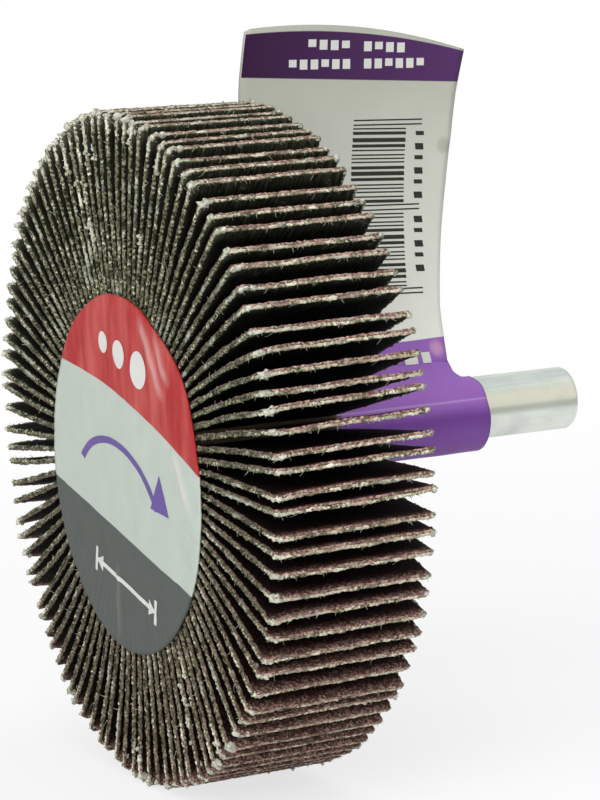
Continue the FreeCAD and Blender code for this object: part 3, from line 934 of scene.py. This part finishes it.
def build_label():
    """The label's disc, a little dented at its edge, with its paper back and its marks."""
    bm = ringed_shape(408, LABEL_RADIUS, 0, 42)
    for vert in bm.verts:
        x, z = vert.co.x, vert.co.y
        turn = math.atan2(x, z)
        dent = 1 + 0.006 * wobble(math.sin(turn) * 3, math.cos(turn) * 3, 2.0)
        dent += 0.045 * math.exp(-((turn - 1.0) / 0.24) ** 2)
        dent -= 0.014 * math.exp(-((turn - 0.52) / 0.12) ** 2)
        vert.co = Vector((LABEL_CENTRE.x + x * dent, 0, LABEL_CENTRE.z + z * dent))
    drape(bm, 0.0)
    face_out(bm)
    if sum(face.normal.y for face in bm.faces) > 0:
        bmesh.ops.reverse_faces(bm, faces=bm.faces)
    layer = bm.verts.layers.float.new("crest")
    for vert in bm.verts:
        vert[layer] = fold_share(vert.co.x, vert.co.z)
    made = bmesh.ops.extrude_face_region(bm, geom=bm.faces)["geom"]
    back = [item for item in made if isinstance(item, bmesh.types.BMVert)]
    for vert in back:
        vert.co.y = min(vert.co.y + LABEL_THICKNESS, -0.01)
    face_out(bm)
    for face in bm.faces:
        face.material_index = 3 if face.normal.y > 0.5 else 0
    add_marks(bm)
    finish_piece(bm, "label_disc", (LABEL, WHITE_INK, PURPLE, CARD_EDGE),
                 ["front_label"])


def arrow_head(radius, cuts, turn):
    """A triangle turned by a number of degrees."""
    head = ringed_shape(3, radius, cuts, cuts)
    turn_round(head, math.radians(turn), "Z")
    return head


def add_marks(bm):
    """Generic marks printed on the label: discs, a turning arrow and a measure line."""
    tilt = math.radians(-14.8)

    def lay(part, material, centre):
        turn_round(part, tilt, "Z")
        for vert in part.verts:
            vert.co = Vector((vert.co.x + centre[0], 0, vert.co.y + centre[1]))
        drape(part, INK_LIFT)
        for face in part.faces:
            face.material_index = material
        pour(part, bm)

    def on_line(middle, across):
        """A place on the tilted line of print through a middle point."""
        return middle[0] + across * math.cos(tilt), middle[1] + across * math.sin(tilt)

    for across, radius in ((-5.4, 1.0), (-1.8, 1.3), (2.6, 1.7)):
        lay(ringed_shape(40, radius, 0, 6), 1, on_line(DISCS, across))

    arc = new_grid(40, 3)
    for vert in arc.verts:
        share = vert.co.x + 0.5
        across = vert.co.y
        angle = math.radians(158 - 128 * share)
        radius = 15.0 + across * 1.5
        vert.co = Vector((radius * math.cos(angle) * 0.62, radius * math.sin(angle) * 0.42 - 3.9, 0))
    lay(arc, 2, (-1.0, -2.2))
    lay(arrow_head(2.3, 8, 128), 2, (7.4, -3.9))

    for width, height, across in ((13.0, 0.45, 0), (0.5, 2.4, -6.6), (0.5, 2.4, 6.6)):
        bar = new_grid(round(8 * width), round(8 * height))
        bmesh.ops.scale(bar, vec=(width, height, 1), verts=bar.verts)
        lay(bar, 1, on_line(MEASURE, across))
    for across, turn in ((-5.6, 90), (5.6, -90)):
        lay(arrow_head(0.9, 3, turn), 1, on_line(MEASURE, across))


# Paper tag: a loop that hangs on the spindle and a bowed double sheet above it.

def along_points(points, at):
    """The value at a place along a short list of measured pairs."""
    if at <= points[0][0]:
        return points[0][1]
    for (a0, b0), (a1, b1) in zip(points, points[1:]):
        if at <= a1:
            return b0 + (b1 - b0) * (at - a0) / (a1 - a0)
    return points[-1][1]


RIGHT_EDGE = ((4.8, 33.5), (5.7, 33.62), (7.0, 33.8), (9.9, 34.2), (16.4, 35.8), (21.4, 37.1),
              (26.1, 38.2), (30.1, 38.9), (34.1, 39.8), (38.0, 40.4))
LEFT_EDGE = ((5.0, 15.8), (30.5, 15.8), (32.4, 15.9), (37.2, 16.4))


def top_edge(y):
    """The tag's gently arched upper edge, rounded off at its left corner."""
    along = (y - TAG_LEFT) / TAG_WIDTH
    return 36.95 + 2.1 * along - 5.0 * along ** 2 - 0.8 * max(0.0, 1 - (y - 15.8) / 1.1) ** 2


def sheet_x(z):
    """The standing sheet's bow, seen along the axis; its foot goes straight down into the neck."""
    share = max(0.0, z - JOIN) / 33.0
    return 12.0 * share * (share - 1) - 4.0 * share


def sheet_swell(y, z):
    """The sheet's slight unevenness, at its most near the top."""
    return 0.12 * wobble(y * 0.12, z * 0.12, 4.0)


def flag_point(across, up):
    """A place on the standing sheet, from its foot's left corner (0, 0) to (1, 1)."""
    z = TAG_FOOT
    y = 25.0
    for _ in range(4):
        left = along_points(LEFT_EDGE, z)
        right = along_points(RIGHT_EDGE, z)
        y = left + (right - left) * across
        z = TAG_FOOT + (top_edge(y) - TAG_FOOT) * up
    return Vector((sheet_x(z) + sheet_swell(y, z) * up, y, z))


def build_tag():
    """The tag's standing double sheet with its marks."""
    bm = new_grid(36, 48)
    for vert in bm.verts:
        vert.co = flag_point(vert.co.x + 0.5, vert.co.y + 0.5)
    bm.normal_update()
    bmesh.ops.solidify(bm, geom=bm.faces, thickness=TAG_THICKNESS)
    face_out(bm)
    middle = sum(vert.co.x - sheet_x(vert.co.z) for vert in bm.verts) / len(bm.verts)
    bmesh.ops.translate(bm, verts=bm.verts, vec=(-middle, 0, 0))
    bm.verts.layers.float.new("crest")
    for face in bm.faces:
        face.material_index = 0 if abs(face.normal.x) > 0.55 else 1
    add_tag_marks(bm)
    finish_piece(bm, "tag_sheet", (CARD, CARD_EDGE, WHITE_INK, BLACK_INK),
                 ["shank_tag"])


def add_tag_marks(bm):
    """Plain blocks in the purple fields, and an evenly ruled patch on the pale part."""

    def lay(y0, y1, top0, top1, height, material):
        """One printed block, from y0 to y1, with its top going from top0 to top1."""
        part = new_grid(6, 3)
        for vert in part.verts:
            share = vert.co.x + 0.5
            y = y0 + (y1 - y0) * share
            z = top0 + (top1 - top0) * share - height * (0.5 - vert.co.y)
            x = sheet_x(z) + sheet_swell(y, z) * (z - JOIN) / 31
            vert.co = Vector((x + TAG_THICKNESS / 2 + 0.025, y, z))
        for face in part.faces:
            face.material_index = material
            face.normal_update()
            if face.normal.x < 0:
                face.normal_flip()
        pour(part, bm)

    for first, final, top, fall, count in ((22.9, 33.6, 35.85, 0.85, 9),
                                           (20.9, 35.7, 34.05, 0.55, 13)):
        step = (final - first) / count
        for index in range(count):
            if index != count // 2:
                share = index / count
                lay(first + step * index, first + step * (index + 0.7), top - fall * share,
                    top - fall * share - 0.03, 0.92 if index % 3 else 0.7, 2)
    for first, final in ((29.0, 30.4), (30.9, 31.8)):
        lay(first, final, 5.85, 5.82, 1.0, 2)
    drop = 0.0
    for index in range(38):
        top = 28.05 - drop
        guard = index in (0, 1, 18, 19, 36, 37)
        kind = index * 5 % 7
        thick = 0.14 if guard else 0.14 + 0.16 * (kind in (1, 4)) + 0.26 * (kind == 6)
        shift = -2.35 * drop / 16.2
        final = 35.1 if guard else 33.4
        lay(27.7 + shift, final + shift, top, top - 0.3, thick, 3)
        drop += thick + 0.2 + 0.1 * (index % 3 == 0)
    for index in range(12):
        if index != 6:
            top = 26.6 - 1.15 * index
            shift = -0.165 * index
            lay(34.3 + shift, 35.2 + shift, top, top - 0.06, 0.62 if index % 2 else 0.4, 3)


# How high the loop's folded neck reaches: the place along the spindle and the height.
NECK = ((33.65, JOIN + 0.15), (33.85, 4.3), (34.2, 3.8), (34.7, 3.4), (35.2, 3.1))


def build_loop():
    """The tag's loop round the spindle, drawn up into a folded neck under the sheet."""
    bm = bmesh.new()
    bmesh.ops.create_circle(bm, cap_ends=False, segments=72, radius=LOOP_RADIUS)
    turn_round(bm, math.radians(90), "X")
    bmesh.ops.translate(bm, verts=bm.verts, vec=(0, LOOP_START, 0))
    ring = bm.edges[:]
    steps = 44
    for _ in range(steps):
        verts, ring = grow_ring(bm, ring)
        bmesh.ops.translate(bm, verts=verts, vec=(0, (LOOP_END - LOOP_START) / steps, 0))
    for vert in bm.verts:
        x, y, z = vert.co
        apex = along_points(NECK, y) - LOOP_DROP
        angle = math.atan2(abs(x), z)
        if apex > LOOP_RADIUS * 1.01:
            touch = math.acos(LOOP_RADIUS / apex)
            if angle < touch:
                share = angle / touch
                edge_x = LOOP_RADIUS * math.sin(touch)
                edge_z = LOOP_RADIUS * math.cos(touch)
                side = 1 if x > 0 else -1
                x = side * edge_x * share
                z = apex + (edge_z - apex) * share
                x *= share ** 0.6
                x += 0.13 * side * (1 - share)
        ripple = 0.07 * wobble(y * 0.35, x * 0.5, z * 0.5)
        vert.co = Vector((x * (1 + ripple), y, (z + LOOP_DROP) + ripple))
    face_out(bm)
    if sum(face.normal.dot(face.calc_center_median() * Vector((1, 0, 1))) for face in bm.faces) < 0:
        bmesh.ops.reverse_faces(bm, faces=bm.faces)
    bmesh.ops.solidify(bm, geom=bm.faces, thickness=LOOP_THICKNESS)
    face_out(bm)
    bm.verts.layers.float.new("crest")
    for face in bm.faces:
        face.material_index = 1 if abs(face.normal.y) > 0.7 else 0
    finish_piece(bm, "tag_loop", (CARD, CARD_EDGE), ["shank_tag"])


def build_spindle():
    """The spindle, turned from its outline: pairs of a radius and a place along it."""
    bm = bmesh.new()
    outline = [(0, 1.6), (SPINDLE_RELIEVED, 1.6), (SPINDLE_RELIEVED, LOOP_END - 0.3),
               (SPINDLE, LOOP_END - 0.05), (SPINDLE, SPINDLE_END - END_ROUND)]
    for step in range(1, 6):
        turn = math.radians(18 * step)
        outline.append((SPINDLE - END_ROUND + END_ROUND * math.cos(turn),
                        SPINDLE_END - END_ROUND + END_ROUND * math.sin(turn)))
    outline.append((0, SPINDLE_END))
    verts = [bm.verts.new((radius, along, 0)) for radius, along in outline]
    edges = [bm.edges.new(pair) for pair in zip(verts, verts[1:])]
    bmesh.ops.spin(bm, geom=verts + edges, cent=(0, 0, 0), axis=(0, 1, 0), angle=2 * math.pi,
                   steps=72, use_merge=True)
    bmesh.ops.remove_doubles(bm, verts=bm.verts, dist=0.0005)
    face_out(bm)
    finish_piece(bm, "spindle_bar", (STEEL,), ["spindle"])


def dress_core():
    """Give the solid core, which is kept as it is, its resin."""
    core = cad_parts["resin_core"]
    core.data.materials.clear()
    core.data.materials.append(RESIN)


# Stage: a plain pale floor that keeps the shadow, a white world and soft lamps.

def build_floor():
    s = new_material("floor_paper", 0.95)
    s.surface["Base Color"].default_value = (0.9, 0.9, 0.9, 1)
    glow = s.fed("ShaderNodeEmission", Color=(1, 1, 1, 1), Strength=1.0)
    blend = s.node("ShaderNodeMixShader")
    place = s.axes(s.place())
    far = s.math("SQRT", s.plus(s.times(place["X"], place["X"]), s.times(place["Y"], place["Y"])))
    s.feed(blend.inputs[0], s.times(s.looked_at(), s.ramp(far, 0.05, 0.3, 0.72, 1.0)))
    s.feed(blend.inputs[1], s.tree.nodes["Principled BSDF"].outputs[0])
    s.feed(blend.inputs[2], glow.outputs[0])
    s.feed(s.tree.nodes["Material Output"].inputs["Surface"], blend.outputs[0])
    bm = bmesh.new()
    bmesh.ops.create_grid(bm, x_segments=1, y_segments=1, size=3.0)
    bmesh.ops.translate(bm, verts=bm.verts, vec=(0, 0, FLOOR * MM))
    floor = add_mesh(bm, "floor", (s.material,))


def build_world():
    """An even white world, dimmer as a light than as a backdrop."""
    world = bpy.data.worlds.new("studio")
    bpy.context.scene.world = world
    world.use_nodes = True
    s = Shading(world.node_tree)
    ground = world.node_tree.nodes["Background"]
    ground.inputs["Color"].default_value = (1, 1, 1, 1)
    s.feed(ground.inputs["Strength"],
           s.ramp(s.looked_at(), 0.0, 1.0, 0.42, 1.0, smooth=False))


LAMP_SIZE = 0.8


def add_lamp(name, place, power):
    """A soft round lamp turned towards the wheel, that no gloss mirrors."""
    data = bpy.data.lights.new(name, "AREA")
    data.shape = "DISK"
    data.size = LAMP_SIZE
    data.energy = power
    lamp = add_object(name, data)
    lamp.location = place
    lamp.visible_glossy = False
    lamp.rotation_euler = (-Vector(place)).to_track_quat("-Z", "Y").to_euler()


SENSOR_HEIGHT = 24.0
PICTURE_HEIGHT = 800.0
FOCAL_PIXELS = 2987.0


def add_camera():
    """The picture's camera: out to the wheel's right and a little before its front."""
    data = bpy.data.cameras.new("view_camera")
    data.sensor_fit = "VERTICAL"
    data.sensor_height = SENSOR_HEIGHT
    data.lens = FOCAL_PIXELS * SENSOR_HEIGHT / PICTURE_HEIGHT
    data.clip_start = 0.01
    camera = add_object("view_camera", data)
    right = Vector((0.449393, 0.891571, -0.056106))
    up = Vector((-0.0782, 0.101825, 0.991724))
    back = Vector((0.889905, -0.441286, 0.11548))
    turn = Matrix((right, up, back)).transposed().to_4x4()
    camera.matrix_world = Matrix.Translation((0.246984, -0.104692, 0.034711)) @ turn
    bpy.context.scene.camera = camera


build_flaps()
build_label()
build_tag()
build_loop()
build_spindle()
dress_core()
build_floor()
build_world()
add_lamp("key_lamp", (0.42, -0.42, 0.32), 4.9)
add_lamp("top_lamp", (0.1, 0.2, 0.7), 1.9)
add_camera()

scene = bpy.context.scene
scene.view_settings.view_transform = "Standard"
